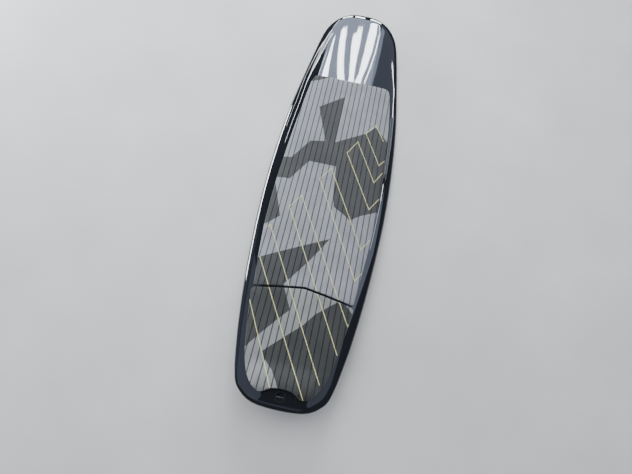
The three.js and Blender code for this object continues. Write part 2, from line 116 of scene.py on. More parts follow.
EDGE = spline(OUTLINE, EDGE_STEPS)


def half_width(y):
    return np.interp(y, EDGE[:, 0], EDGE[:, 1])


def rocker(y):
    tail = np.clip((TAIL_ROCKER_FROM - y) / TAIL_ROCKER_FROM, 0, 1)
    nose = np.clip((y - NOSE_ROCKER_FROM) / (LENGTH - NOSE_ROCKER_FROM), 0, 1)
    return TAIL_ROCKER * tail**TAIL_ROCKER_POWER + NOSE_ROCKER * nose**NOSE_ROCKER_POWER


def thickness(y):
    tail = np.clip((THICKEST_AT - y) / THICKEST_AT, 0, 1)
    nose = np.clip((y - THICKEST_AT) / (LENGTH - THICKEST_AT), 0, 1)
    tail_loss = TAIL_THINNING * tail**THINNING_POWER
    nose_loss = NOSE_THINNING * nose**THINNING_POWER
    return MAX_THICKNESS - tail_loss - nose_loss


def quarter_round(distance, length):
    return np.sqrt(1 - (1 - np.clip(distance / length, 0, 1)) ** 2)


def end_round(y):
    """How much of its full height the board has, near the tip of the tail and of the nose."""
    return quarter_round(y, TAIL_ROUND) * quarter_round(LENGTH - y, NOSE_ROUND)


def rail_z(y):
    return rocker(y) + RAIL_HEIGHT * thickness(y)


def deck_height(y, share, inset=0):
    """Height of the deck where share is the place across the board, from 0 to 1 at the rail."""
    rise = (1 - RAIL_HEIGHT) * thickness(y) - inset
    return rail_z(y) + rise * end_round(y) * np.sqrt(1 - np.minimum(1, share) ** DECK_POWER)


def bottom_height(y, share, inset=0):
    drop = (RAIL_HEIGHT * thickness(y) - inset) * end_round(y)
    hollow = CONCAVE * end_round(y) * np.clip(1 - (share / CONCAVE_SPAN) ** 2, 0, 1)
    return rail_z(y) - drop * np.sqrt(1 - np.minimum(1, share) ** BOTTOM_POWER) + hollow


def share_across(x, y):
    return np.abs(x) / np.maximum(1, half_width(y))


def deck_z(x, y):
    return deck_height(y, share_across(x, y))


def bottom_z(x, y):
    return bottom_height(y, share_across(x, y))


def slope_at(height, y):
    return math.atan2(height(y + SLOPE_STEP) - height(y - SLOPE_STEP), 2 * SLOPE_STEP)


# ---------------------------------------------------------------- node materials
# The sockets that a colour mix uses, among those a mix node has for its other types.
MIX_FACTOR, MIX_A, MIX_B, MIX_RESULT = 0, 6, 7, 2


class Finish:
    """A Principled material built from procedural textures in the piece's own coordinates, in
    metres: a texture's scale is per metre, and a bump depth of 1e-6 is a micrometre."""

    def __init__(self, name):
        self.material = bpy.data.materials.new(name)
        self.material.use_nodes = True
        self.tree = self.material.node_tree
        self.shader = self.tree.nodes["Principled BSDF"]
        self.place = self.node("ShaderNodeTexCoord").outputs["Object"]

    def node(self, kind, inputs=None, **settings):
        made = self.tree.nodes.new(kind)
        for key, value in settings.items():
            setattr(made, key, value)
        for key, value in (inputs or {}).items():
            self.set(made.inputs[key], value)
        return made

    def set(self, socket, value):
        if isinstance(value, bpy.types.NodeSocket):
            self.tree.links.new(value, socket)
        else:
            socket.default_value = value

    def constants(self, **values):
        """Plain numbers on the shader's own sockets; underscores stand for spaces."""
        for key, value in values.items():
            self.shader.inputs[key.replace("_", " ")].default_value = value

    def stretched(self, scale, turn=(0, 0, 0)):
        return self.node(
            "ShaderNodeMapping", {"Vector": self.place, "Scale": scale, "Rotation": turn}
        ).outputs["Vector"]

    def noise(self, scale, detail=3, rough=0.55, at=None):
        inputs = {"Vector": at or self.place, "Scale": scale, "Detail": detail, "Roughness": rough}
        return self.node("ShaderNodeTexNoise", inputs).outputs["Fac"]

    def cells(self, scale):
        inputs = {"Vector": self.place, "Scale": scale}
        return self.node("ShaderNodeTexVoronoi", inputs).outputs["Distance"]

    def bands(self, scale, direction, at, **inputs):
        inputs = {"Vector": at, "Scale": scale, **inputs}
        return self.node("ShaderNodeTexWave", inputs, bands_direction=direction).outputs["Fac"]

    def span(self, value, low, high, start=0.3, end=0.7):
        """The value from start to end, as a value from low to high."""
        inputs = {"Value": value, "From Min": start, "From Max": end, "To Min": low, "To Max": high}
        return self.node("ShaderNodeMapRange", inputs).outputs["Result"]

    def product(self, a, b):
        made = self.node("ShaderNodeMath", operation="MULTIPLY")
        self.set(made.inputs[0], a)
        self.set(made.inputs[1], b)
        return made.outputs["Value"]

    def mix(self, factor, a, b):
        made = self.node("ShaderNodeMix", data_type="RGBA")
        for socket, value in ((MIX_FACTOR, factor), (MIX_A, a), (MIX_B, b)):
            if isinstance(value, tuple):
                value = (*value, 1)
            self.set(made.inputs[socket], value)
        return made.outputs[MIX_RESULT]

    def colour(self, value):
        self.set(self.shader.inputs["Base Color"], value)

    def roughness(self, value):
        self.set(self.shader.inputs["Roughness"], value)

    def bump(self, *layers):
        """Each layer is (height texture, depth in metres)."""
        normal = None
        for height, depth in layers:
            inputs = {"Height": height, "Strength": 1.0, "Distance": depth}
            if normal:
                inputs["Normal"] = normal
            normal = self.node("ShaderNodeBump", inputs).outputs["Normal"]
        self.set(self.shader.inputs["Normal"], normal)


def scaled(colour, factor):
    return tuple(c * factor for c in colour)


def gloss_laminate():
    """Polished near-black navy gel coat with faint waves, orange peel and fine wear."""
    f = Finish("navy_gel_coat")
    tint = f.span(f.noise(5, detail=2), 0, 1)
    base = f.mix(tint, (0.0034, 0.0042, 0.0068), (0.0052, 0.0068, 0.0105))
    specks = f.span(f.noise(1400, detail=1), 0, 0.35, start=0.62, end=0.75)
    f.colour(f.mix(specks, base, (0.03, 0.04, 0.055)))
    scuffs = f.noise(60, detail=5, rough=0.7, at=f.stretched((3, 0.35, 1)))
    f.roughness(f.span(scuffs, 0.012, 0.05, start=0.35, end=0.75))
    waves, orange_peel = f.noise(7, detail=1), f.noise(420, detail=2)
    f.bump((waves, 250e-6), (orange_peel, 2.5e-6))
    f.constants(Coat_Weight=0.7, Coat_Roughness=0.01, Coat_IOR=1.5, Specular_IOR_Level=0.5)
    return f.material


FOAM_MOTTLE, FOAM_NAP_SHADE, FOAM_CELL_TINT = 0.16, 0.72, 1.35
FOAM_CELLS = 1300


def foam(name, colour):
    """Closed-cell EVA sheet: soft mottling, tiny cells, and a fine brushed nap along the board."""
    f = Finish(name)
    mottle = f.span(f.noise(14, detail=4), 0, 1)
    base = f.mix(mottle, scaled(colour, 1 - FOAM_MOTTLE), scaled(colour, 1 + FOAM_MOTTLE))
    nap = f.noise(260, detail=3, rough=0.6, at=f.stretched((4, 0.5, 1)))
    napped = f.mix(f.span(nap, 0, 0.5), base, scaled(colour, FOAM_NAP_SHADE))
    cells = f.cells(FOAM_CELLS)
    tops = f.span(cells, 0.35, 0, start=0, end=0.5)
    f.colour(f.mix(tops, napped, scaled(colour, FOAM_CELL_TINT)))
    f.roughness(f.span(nap, 0.72, 0.95))
    dents = f.noise(18, detail=2)
    f.bump((dents, 600e-6), (nap, 120e-6), (cells, 180e-6))
    f.constants(Sheen_Weight=0.25, Sheen_Roughness=0.5, Specular_IOR_Level=0.35)
    return f.material


def printed_line():
    """Pale yellow ink line pressed into the foam."""
    f = Finish("pale_yellow_line")
    worn = f.span(f.noise(220, detail=4), 0, 1, start=0.45, end=0.8)
    f.colour(f.mix(worn, (0.58, 0.56, 0.25), (0.40, 0.39, 0.22)))
    f.roughness(f.span(f.noise(500, detail=2), 0.55, 0.8))
    f.bump((f.cells(FOAM_CELLS), 120e-6))
    return f.material


def black_plastic():
    """Moulded plastic with an eroded grain."""
    f = Finish("black_plastic")
    colour = (0.008, 0.0083, 0.0092)
    f.colour(f.mix(f.span(f.noise(40), 0, 1), scaled(colour, 0.8), scaled(colour, 1.35)))
    f.roughness(f.span(f.noise(180), 0.32, 0.5))
    grain, pits = f.noise(900), f.cells(1530)
    f.bump((grain, 60e-6), (pits, 36e-6))
    return f.material


def steel():
    """Turned stainless steel with fine lathe lines."""
    f = Finish("stainless_steel")
    lines = f.noise(900, detail=2, rough=0.5, at=f.stretched((0.15, 1, 3)))
    f.colour(f.mix(f.span(lines, 0, 1), (0.52, 0.53, 0.54), (0.68, 0.69, 0.70)))
    f.roughness(f.span(lines, 0.18, 0.34))
    f.bump((lines, 10e-6))
    f.constants(Metallic=1)
    return f.material


def glass_laminate():
    """Dark glass-cloth fin laminate under clear resin: a plain weave, clouded with resin."""
    f = Finish("fin_glass_laminate")
    diagonal = (0, 0, 0.785)
    warp = f.bands(130, "Y", f.stretched((1, 1, 1), diagonal))
    weft = f.bands(130, "Z", f.stretched((1, 1, 1), diagonal))
    weave = f.product(warp, weft)
    cloth = f.mix(weave, (0.008, 0.012, 0.018), (0.028, 0.036, 0.048))
    f.colour(f.mix(f.span(f.noise(22), 0, 0.6), cloth, (0.02, 0.03, 0.045)))
    f.roughness(f.span(f.noise(90, detail=4), 0.14, 0.3))
    flow = f.noise(30, detail=2)
    f.bump((weave, 30e-6), (flow, 200e-6))
    f.constants(Coat_Weight=0.8, Coat_Roughness=0.05)
    return f.material


def bead_foam():
    """Expanded bead foam of the core."""
    f = Finish("bead_foam")
    beads = f.cells(320)
    joins = f.span(beads, 0, 1, start=0.2, end=0.6)
    f.colour(f.mix(joins, (0.78, 0.79, 0.78), (0.58, 0.6, 0.6)))
    f.roughness(f.span(beads, 0.7, 0.95))
    f.bump((beads, 600e-6))
    return f.material


def wood():
    """Straight-grained softwood of the stringer."""
    f = Finish("stringer_wood")
    grain = f.bands(120, "Z", f.stretched((1, 0.06, 1)), Distortion=6, Detail=3)
    f.colour(f.mix(grain, (0.34, 0.21, 0.10), (0.52, 0.36, 0.19)))
    f.roughness(f.span(grain, 0.55, 0.75, start=0, end=1))
    f.bump((grain, 100e-6))
    return f.material


def dense_foam():
    """High-density insert foam."""
    f = Finish("dense_foam")
    pores = f.cells(900)
    depth = f.span(pores, 0, 1, start=0.1, end=0.6)
    f.colour(f.mix(depth, (0.50, 0.42, 0.25), (0.36, 0.30, 0.18)))
    f.roughness(f.span(f.noise(200), 0.75, 0.95))
    f.bump((pores, 200e-6))
    return f.material


NAVY = gloss_laminate()
# A pad's finishes stand in the order of the index names given further down: light foam, dark foam,
# light foam in a groove, dark foam in a groove, printed line. The groove finishes are the same foam
# darkened, as painted shade in the grooves.
FRONT_PAD_FINISHES = [
    foam("foam_light_front", (0.240, 0.250, 0.268)),
    foam("foam_dark_front", (0.050, 0.052, 0.053)),
    # The next two are the light and dark foam darkened as painted shade in the grooves.
    foam("foam_groove_painted_shade_front", (0.080, 0.084, 0.092)),
    foam("foam_dark_groove_painted_shade_front", (0.012, 0.0125, 0.013)),
    printed_line(),
]
# The tail pad is the same foam as the front pad; its darker colours are painted shade, for the
# weaker light that reaches the tail.
TAIL_PAD_PAINTED_SHADE_FINISHES = [
    foam("foam_light_tail_painted_shade", (0.205, 0.213, 0.213)),
    foam("foam_dark_tail_painted_shade", (0.037, 0.039, 0.039)),
    # The next two are painted shade in the grooves, darkened from the tail pad's foam.
    foam("foam_groove_painted_shade_tail", (0.066, 0.068, 0.070)),
    foam("foam_dark_groove_painted_shade_tail", (0.009, 0.0093, 0.0095)),
    printed_line(),
]
KICK_FOAM = foam("kick_foam", (0.045, 0.047, 0.05))
BLACK_PLASTIC = black_plastic()
STEEL = steel()
FIN_LAMINATE = glass_laminate()
BEAD_FOAM = bead_foam()
WOOD = wood()
DENSE_FOAM = dense_foam()


# ---------------------------------------------------------------- mesh helpers
MERGE_WITHIN, SLIVER = 2e-6, 1e-7  # metres
SHARP_ANGLE, PAD_SHARP_ANGLE, SCREW_SHARP_ANGLE, FIN_SHARP_ANGLE = 35, 28, 30, 50
CORNER_STEPS = 8


def link(name, mesh, materials):
    piece = bpy.data.objects.new(name, mesh)
    bpy.context.scene.collection.objects.link(piece)
    for material in materials:
        mesh.materials.append(material)
    return piece


def piece_of(name, points, faces, materials, local=Matrix(), sharp=SHARP_ANGLE, finish_of=None):
    """A closed piece from millimetre points in a local frame, with its normals turned outward."""
    matrix = np.array(PLACE @ local)
    placed = np.asarray(points, float) @ matrix[:3, :3].T + matrix[:3, 3]
    mesh = bpy.data.meshes.new(name)
    mesh.from_pydata(placed.tolist(), [], [list(face) for face in faces])
    if finish_of is not None:
        mesh.polygons.foreach_set("material_index", np.asarray(finish_of, np.int32))
    work = bmesh.new()
    work.from_mesh(mesh)
    bmesh.ops.remove_doubles(work, verts=work.verts, dist=MERGE_WITHIN)
    bmesh.ops.dissolve_degenerate(work, edges=work.edges, dist=SLIVER)
    bmesh.ops.recalc_face_normals(work, faces=work.faces)
    work.to_mesh(mesh)
    work.free()
    piece = link(name, mesh, materials)
    smooth(piece, sharp)
    return piece


def smooth(piece, sharp):
    piece.data.polygons.foreach_set("use_smooth", [True] * len(piece.data.polygons))
    piece.data.set_sharp_from_angle(angle=math.radians(sharp))


def boolean(piece, other, operation="DIFFERENCE", sharp=SHARP_ANGLE):
    """Exact boolean, applied at once; other is used up."""
    modifier = piece.modifiers.new("cut", "BOOLEAN")
    modifier.solver = "EXACT"
    modifier.operation = operation
    modifier.object = other
    bpy.context.view_layer.update()
    evaluated = piece.evaluated_get(bpy.context.evaluated_depsgraph_get())
    mesh = bpy.data.meshes.new_from_object(evaluated)
    piece.modifiers.clear()
    piece.data = mesh
    bpy.data.objects.remove(other)
    smooth(piece, sharp)


def sheet_faces(rows, columns):
    """Faces of a closed body whose upper grid of points is followed by its lower grid."""
    def up_at(r, c):
        return r * columns + c

    def low_at(r, c):
        return (rows + r) * columns + c

    last, end = rows - 1, columns - 1
    faces = []
    for r in range(last):
        for c in range(end):
            faces.append((up_at(r, c), up_at(r, c + 1), up_at(r + 1, c + 1), up_at(r + 1, c)))
            faces.append((low_at(r, c), low_at(r + 1, c), low_at(r + 1, c + 1), low_at(r, c + 1)))
        faces.append((low_at(r, 0), up_at(r, 0), up_at(r + 1, 0), low_at(r + 1, 0)))
        faces.append((up_at(r, end), low_at(r, end), low_at(r + 1, end), up_at(r + 1, end)))
    for c in range(end):
        faces.append((low_at(0, c), low_at(0, c + 1), up_at(0, c + 1), up_at(0, c)))
        faces.append((up_at(last, c), up_at(last, c + 1), low_at(last, c + 1), low_at(last, c)))
    return faces


def ring_faces(rings, count):
    """Faces between neighbouring rings, each of which has count points."""
    faces = []
    for i in range(rings - 1):
        low, high = i * count, (i + 1) * count
        for k in range(count):
            n = (k + 1) % count
            faces.append((low + k, low + n, high + n, high + k))
    return faces


def turned(name, profile, materials, local, segments, sharp=SHARP_ANGLE):
    """Upright round body whose (radius, z) profile starts and ends on the axis."""
    points = []
    for radius, z in profile:
        for k in range(segments):
            a = 2 * math.pi * k / segments
            points.append((radius * math.cos(a), radius * math.sin(a), z))
    return piece_of(name, points, ring_faces(len(profile), segments), materials, local, sharp)


def prism(name, outline, levels, materials, local):
    """Body that joins the outline at each (z, inset) level; the first and last are capped."""
    count = len(outline)
    points = []
    for z, inset in levels:
        points += [(x, y, z) for x, y in shrunk(outline, inset)]
    caps = [tuple(range(count)), tuple(range((len(levels) - 1) * count, len(levels) * count))]
    return piece_of(name, points, caps + ring_faces(len(levels), count), materials, local)


def shrunk(outline, inset):
    """Closed outline, counter-clockwise, moved inwards by inset."""
    points = np.asarray(outline, float)
    before, after = np.roll(points, 1, axis=0), np.roll(points, -1, axis=0)

    def inward(a, b):
        d = b - a
        return np.stack([-d[:, 1], d[:, 0]], -1) / np.linalg.norm(d, axis=1)[:, None]

    n0, n1 = inward(before, points), inward(points, after)
    return points + inset * (n0 + n1) / (1 + (n0 * n1).sum(1))[:, None]


def rounded_rectangle(length, width, corner):
    points = []
    for cx, cy, start in ((1, -1, -90), (1, 1, 0), (-1, 1, 90), (-1, -1, 180)):
        for k in range(CORNER_STEPS + 1):
            a = math.radians(start + 90 * k / CORNER_STEPS)
            points.append((
                cx * (width / 2 - corner) + corner * math.cos(a),
                cy * (length / 2 - corner) + corner * math.sin(a),
            ))
    return points


# ---------------------------------------------------------------- fins, boxes and screws
BOX_LENGTH, BOX_WIDTH, BOX_DEPTH, BOX_CORNER = 134, 26, 20, 10
BOX_FOOT_EASE, BOX_RIM_EASE = 1.5, 0.5
SLOT_FROM, SLOT_TO, SLOT_WIDTH, SLOT_DEPTH = -56, 50, 7.2, 17
SCREW_AT, SCREW_RADIUS, SCREW_LENGTH, SCREW_RECESS, HEX_SOCKET = 57.5, 2.5, 8, 0.8, 1.4
SCREW_FOOT, SCREW_HEAD_EASE, HEX_DEPTH = 0.6, 0.35, 2.2
THREAD_PITCH, THREAD_DEPTH, PLAIN_SHANK = 0.8, 0.3, 2.4
THREAD_CREST, THREAD_ROOT, THREAD_NEXT_CREST = 0.15, 0.4, 0.65
HOLE_FLARE, HOLE_FLARE_FROM, HOLE_FLARE_TO = 0.5, -0.4, 0.1
CUT_ABOVE, HEX_CUT_ABOVE, ROOM_ABOVE = 8, 4, 12
SCREW_SEGMENTS = 40
FIN_BASE, FIN_HALF_THICKNESS, FIN_STANDOFF = 104, 3.2, 0.5
FIN_ROWS, FIN_COLUMNS = 34, 30
LEADING_TAPER, LEADING_SWEEP, LEADING_POWER, TIP_ROUND, TIP_POWER = 14, 64, 2.4, 16, 10
TRAILING_BULGE, BULGE_REACH, TRAILING_SWEEP, TRAILING_POWER = 27, 0.62, 62, 2.2
TIP_CHORD, TIP_THINNING, THINNING_RATE = 7, 0.68, 1.6
FOIL_SCALE, FOIL_PEAK, TRAILING_THICKNESS = 2.6, 0.269, 0.03
FLAT_SIDE_OFFSET = 0.3
TAB_OVERLAP, TAB_EASE = 0.2, 0.4
# Places and depths in millimetres, toe and cant in degrees.
SIDE_FIN = {"x": 138, "y": 296, "toe": 2.5, "cant": 5, "depth": 86}
REAR_FIN = {"x": 0, "y": 150, "toe": 0, "cant": 0, "depth": 84}
FINS = {"left": (SIDE_FIN, -1), "right": (SIDE_FIN, 1), "rear": (REAR_FIN, 1)}


def box_frame(spec, side):
    """Local frame of a fin box: z out of the bottom, y to the nose, turned by the toe angle."""
    x, y = side * spec["x"], spec["y"]
    return (
        Matrix.Translation((x, y, float(bottom_z(x, y))))
        @ Matrix.Rotation(slope_at(rocker, y), 4, "X")
        @ Matrix.Rotation(math.radians(side * spec["toe"]), 4, "Z")
        @ Matrix.Rotation(math.pi, 4, "Y")
    )


def straight_box(name, x_span, y_span, z_span, materials, local, ease=0.0):
    (x0, x1), (y0, y1), (z0, z1) = x_span, y_span, z_span
    outline = [(x0, y0), (x1, y0), (x1, y1), (x0, y1)]
    levels = [(z0, 0), (z1, 0)]
    if ease:
        levels = [(z0, ease), (z0 + ease, 0), (z1 - ease, 0), (z1, ease)]
    return prism(name, outline, levels, materials, local)


def foil_offsets():
    """Places along a four-digit section's chord, and its half thickness there."""
    share = (1 - np.cos(np.linspace(0, math.pi, FIN_COLUMNS))) / 2
    curve = (0.2969 * np.sqrt(share) - 0.126 * share - 0.3516 * share**2 + 0.2843 * share**3
             - 0.1015 * share**4)
    return share, FOIL_SCALE * curve + TRAILING_THICKNESS * share


def fin_blade(name, depth, outboard, flat_inside, local):
    share, foil = foil_offsets()
    sides = []
    for x_side in (-1, 1):
        for r in np.sin(np.linspace(0, math.pi / 2, FIN_ROWS)):
            leading = (FIN_BASE / 2 - LEADING_TAPER * r - LEADING_SWEEP * r**LEADING_POWER
                       - TIP_ROUND * r**TIP_POWER)
            trailing = (-FIN_BASE / 2 + TRAILING_BULGE * math.sin(math.pi * BULGE_REACH * r)
                        - TRAILING_SWEEP * r**TRAILING_POWER)
            chord = max(TIP_CHORD, leading - trailing)
            half = FIN_HALF_THICKNESS * (1 - TIP_THINNING * r**THINNING_RATE)
            offset = half * foil / FOIL_PEAK
            if flat_inside and x_side != outboard:
                offset = np.full(FIN_COLUMNS, FLAT_SIDE_OFFSET)
            heights = np.full(FIN_COLUMNS, FIN_STANDOFF + depth * r)
            sides.append(np.stack([x_side * offset, leading - chord * share, heights], -1))
    faces = sheet_faces(FIN_ROWS, FIN_COLUMNS)
    return piece_of(name, np.concatenate(sides), faces, [FIN_LAMINATE], local, FIN_SHARP_ANGLE)


def fin_box(side_name, local, canted, screw_local):
    outline = rounded_rectangle(BOX_LENGTH, BOX_WIDTH, BOX_CORNER)
    levels = [(-BOX_DEPTH, BOX_FOOT_EASE), (-BOX_DEPTH + BOX_FOOT_EASE, 0), (-BOX_RIM_EASE, 0),
              (0, BOX_RIM_EASE)]
    box = prism(f"fin_box_shell_{side_name}", outline, levels, [BLACK_PLASTIC], local)
    half = SLOT_WIDTH / 2
    slot = straight_box(
        "slot", (-half, half), (SLOT_FROM, SLOT_TO), (-SLOT_DEPTH, CUT_ABOVE), [], canted
    )
    boolean(box, slot)
    floor_z, radius = -SCREW_RECESS - SCREW_LENGTH - GAP, SCREW_RADIUS + GAP
    hole = [(0, floor_z), (radius, floor_z), (radius, HOLE_FLARE_FROM),
            (radius + HOLE_FLARE, HOLE_FLARE_TO), (radius + HOLE_FLARE, CUT_ABOVE), (0, CUT_ABOVE)]
    boolean(box, turned("screw_hole", hole, [], screw_local, SCREW_SEGMENTS))
    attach(box, "board")
    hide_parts(f"fin_box_{side_name}")


def fin(side_name, spec, side, canted):
    depth, has_cant = spec["depth"], spec["cant"] != 0
    blade = fin_blade(f"fin_blade_{side_name}", depth, -side, has_cant, canted)
    half = SLOT_WIDTH / 2
    tab = straight_box(
        "tab", (-half + GAP, half - GAP), (SLOT_FROM + GAP, SLOT_TO - GAP),
        (-SLOT_DEPTH + GAP, FIN_STANDOFF + TAB_OVERLAP), [FIN_LAMINATE], canted, TAB_EASE,
    )
    boolean(blade, tab, "UNION", FIN_SHARP_ANGLE)
    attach(blade, f"{side_name}_fin")
    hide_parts(f"fin_{side_name}")


def fin_screw(side_name, screw_local):
    low, top = -SCREW_RECESS - SCREW_LENGTH, -SCREW_RECESS
    profile = [(0, low), (SCREW_RADIUS - SCREW_FOOT, low), (SCREW_RADIUS, low + SCREW_FOOT)]
    for k in range(int((SCREW_LENGTH - PLAIN_SHANK) / THREAD_PITCH)):
        z = low + SCREW_FOOT + k * THREAD_PITCH
        profile += [
            (SCREW_RADIUS, z + THREAD_CREST), (SCREW_RADIUS - THREAD_DEPTH, z + THREAD_ROOT),
            (SCREW_RADIUS, z + THREAD_NEXT_CREST),
        ]
    profile += [
        (SCREW_RADIUS, top - SCREW_HEAD_EASE), (SCREW_RADIUS - SCREW_HEAD_EASE, top), (0, top),
    ]
    screw = turned(
        f"fin_screw_head_{side_name}", profile, [STEEL], screw_local, SCREW_SEGMENTS,
        SCREW_SHARP_ANGLE,
    )
    hexagon = [(HEX_SOCKET * math.cos(a), HEX_SOCKET * math.sin(a))
               for a in (math.pi * k / 3 for k in range(6))]
    socket = prism("socket", hexagon, [(top - HEX_DEPTH, 0), (HEX_CUT_ABOVE, 0)], [], screw_local)
    boolean(screw, socket, sharp=SCREW_SHARP_ANGLE)
    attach(screw, f"{side_name}_screw")
    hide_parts(f"fin_screw_{side_name}")


def fin_set(side_name, spec, side):
    """One fin with its box and screw; returns the room that the box needs in the bottom skin."""
    local = box_frame(spec, side)
    canted = local @ Matrix.Rotation(math.radians(-side * spec["cant"]), 4, "Y")
    screw_local = local @ Matrix.Translation((0, SCREW_AT, 0))
    fin_box(side_name, local, canted, screw_local)
    fin(side_name, spec, side, canted)
    fin_screw(side_name, screw_local)
    outline = rounded_rectangle(BOX_LENGTH + 2 * GAP, BOX_WIDTH + 2 * GAP, BOX_CORNER + GAP)
    levels = [(-BOX_DEPTH - GAP, 0), (ROOM_ABOVE, 0)]
    return prism(f"box_room_{side_name}", outline, levels, [], local)


box_rooms = [fin_set(name, spec, side) for name, (spec, side) in FINS.items()]

# ---------------------------------------------------------------- leash plug
PLUG_AT, PLUG_RADIUS, PLUG_FLANGE_RADIUS, PLUG_FLANGE = 36, 14, 15.5, 1.2
PLUG_BORE, PLUG_DEPTH, PLUG_FLOOR, PLUG_RISE = 11.5, 15, 2, 0.6
PLUG_FOOT_EASE, FLANGE_ROUND, BORE_ROUND, BORE_FLOOR_ROUND = 2, 0.6, 0.7, 3
PIN_RADIUS, PIN_DEPTH, PIN_END_ROUND, PIN_BITE = 1.6, 3.4, 0.3, 1.2
PLUG_SEGMENTS, PLUG_ROOM_SEGMENTS, PIN_SEGMENTS, PIN_ROOM_SEGMENTS = 72, 64, 36, 32
plug_frame = (
    Matrix.Translation((0, PLUG_AT, float(deck_z(0, PLUG_AT)) + PLUG_RISE))
    @ Matrix.Rotation(slope_at(lambda y: deck_z(0, y), PLUG_AT), 4, "X")
)
pin_frame = (
    plug_frame @ Matrix.Translation((0, 0, -PIN_DEPTH)) @ Matrix.Rotation(math.pi / 2, 4, "Y")
)


def arc(cx, cz, radius, start, end, steps):
    angles = np.radians(np.linspace(start, end, steps + 1))
    return [(cx + radius * math.cos(a), cz + radius * math.sin(a)) for a in angles]


bore_floor = -PLUG_DEPTH + PLUG_FLOOR
plug_cup = turned("leash_cup", [
    (0, -PLUG_DEPTH),
    (PLUG_RADIUS - PLUG_FOOT_EASE, -PLUG_DEPTH),
    (PLUG_RADIUS, -PLUG_DEPTH + PLUG_FOOT_EASE),
    (PLUG_RADIUS, 0),
    (PLUG_FLANGE_RADIUS, 0),
    *arc(PLUG_FLANGE_RADIUS - FLANGE_ROUND, PLUG_FLANGE - FLANGE_ROUND, FLANGE_ROUND, 0, 90, 5),
    *arc(PLUG_BORE + BORE_ROUND, PLUG_FLANGE - BORE_ROUND, BORE_ROUND, 90, 180, 5),
    *arc(PLUG_BORE - BORE_FLOOR_ROUND, bore_floor + BORE_FLOOR_ROUND, BORE_FLOOR_ROUND, 0, -90, 6),
    (0, bore_floor),
], [BLACK_PLASTIC], plug_frame, PLUG_SEGMENTS)
PIN_REACH = PLUG_BORE + PIN_BITE
pin_room = [(0, -PIN_REACH - GAP), (PIN_RADIUS + GAP, -PIN_REACH - GAP),
            (PIN_RADIUS + GAP, PIN_REACH + GAP), (0, PIN_REACH + GAP)]
boolean(plug_cup, turned("pin_room", pin_room, [], pin_frame, PIN_ROOM_SEGMENTS))
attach(plug_cup, "board")
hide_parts("leash_plug_cup")

pin_end, pin_reach = PIN_RADIUS - PIN_END_ROUND, PIN_REACH - PIN_END_ROUND
leash_pin = turned("leash_pin", [
    (0, -PIN_REACH), *arc(pin_end, -PIN_REACH + PIN_END_ROUND, PIN_END_ROUND, -90, 0, 3),
    *arc(pin_end, pin_reach, PIN_END_ROUND, 0, 90, 3), (0, PIN_REACH),
], [STEEL], pin_frame, PIN_SEGMENTS)
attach(leash_pin, "board")
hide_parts("leash_plug_pin")


# ---------------------------------------------------------------- hull
HULL_COLUMNS, HULL_STEPS = 61, 8


def hull_points(height, inset):
    """Grid of one hull surface, from tail to nose and from left to right."""
    shares = np.sin(np.linspace(-math.pi / 2, math.pi / 2, HULL_COLUMNS))
    rows = []
    for y, half in spline(OUTLINE, HULL_STEPS):
        level = inset + y * (LENGTH - 2 * inset) / LENGTH
        width = max(0, half - inset)
        z = height(y, np.abs(shares), inset)
        rows.append(np.stack([shares * width, np.full_like(shares, level), z], -1))
    return rows


def hull_shell(name, height, outer_first, rooms, node):
    """One laminated skin, with rooms cut out of it for what is let into the board."""
    outer, inner = hull_points(height, 0), hull_points(height, SKIN)
    upper, lower = (outer, inner) if outer_first else (inner, outer)
    faces = sheet_faces(len(outer), len(outer[0]))
    shell = piece_of(name, np.concatenate(upper + lower), faces, [NAVY])
    for room in rooms:
        boolean(shell, room)
    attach(shell, "board")
    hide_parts(node)


plug_room = turned("plug_room", [
    (0, -PLUG_DEPTH - GAP), (PLUG_RADIUS + GAP, -PLUG_DEPTH - GAP),
    (PLUG_RADIUS + GAP, ROOM_ABOVE), (0, ROOM_ABOVE),
], [], plug_frame, PLUG_ROOM_SEGMENTS)
hull_shell("hull_deck", deck_height, True, [plug_room], "deck_skin")
hull_shell("hull_bottom", bottom_height, False, box_rooms, "bottom_skin")

# ---------------------------------------------------------------- deck pads
PAD_THICKNESS, PAD_INSET, PAD_FRONT, PAD_FRONT_CORNER, PAD_REAR = 4.5, 36, 1249, 22, 39
TAIL_PAD_INSET = 30.5
# The front pad sits a little askew: (places along the board, how much wider its left border is).
LEFT_EDGE_SHIFT = [(560, 640, 742, 835, 960, 1058, 1150, 1232), (0, 3, 7, 11, 13.5, 15, 13, 11)]
SHIFT_FROM, SHIFT_OVER = 60, 70
SEAM_AT, SEAM_SWEEP, SEAM_POWER, SEAM_HALF_SPAN, SEAM_GAP = 361, 25, 1.1, 155, 7
SEAM_STEP, SEAM_LAST, SEAM_CORNER, SEAM_CORNER_CUT = 10, 130, (8, 2), (3.5, 9)
FRONT_EDGE_FROM, FRONT_EDGE_TO, FRONT_EDGE_STEP, FRONT_STEP, FRONT_LAST = 365, 1216, 17, 20, 140
TAIL_EDGE_FROM, TAIL_EDGE_TO, TAIL_EDGE_STEP = 150, 316, 15
SEAM_EDGE_FRONT, SEAM_EDGE_TAIL = 352, 325
GROOVE_PITCH, GROOVE_WIDTH, GROOVE_DEPTH, GROOVE_POWER = 20, 4, 2, 1.6
GROOVE_LINES = (-2, -1.5, -0.8, 0, 0.8, 1.5, 2, 6, 10, 14)
PLAIN_LINES = (0, 6, 13)
KICK_HEIGHT, KICK_RAMP_FROM, KICK_CREST, KICK_HALF_WIDTH, ARCH_PEAK = 22, 128, 64, 112, 57
KICK_FALL, KICK_FALL_FROM, KICK_FALL_OVER = 0.35, 8, 24
KICK_SIDE_FROM, KICK_SIDE_OVER = 34, 40
PAD_EDGE_RADIUS, KICK_EDGE_RADIUS, LEAST_THICKNESS = 2.2, 0.5, 0.4
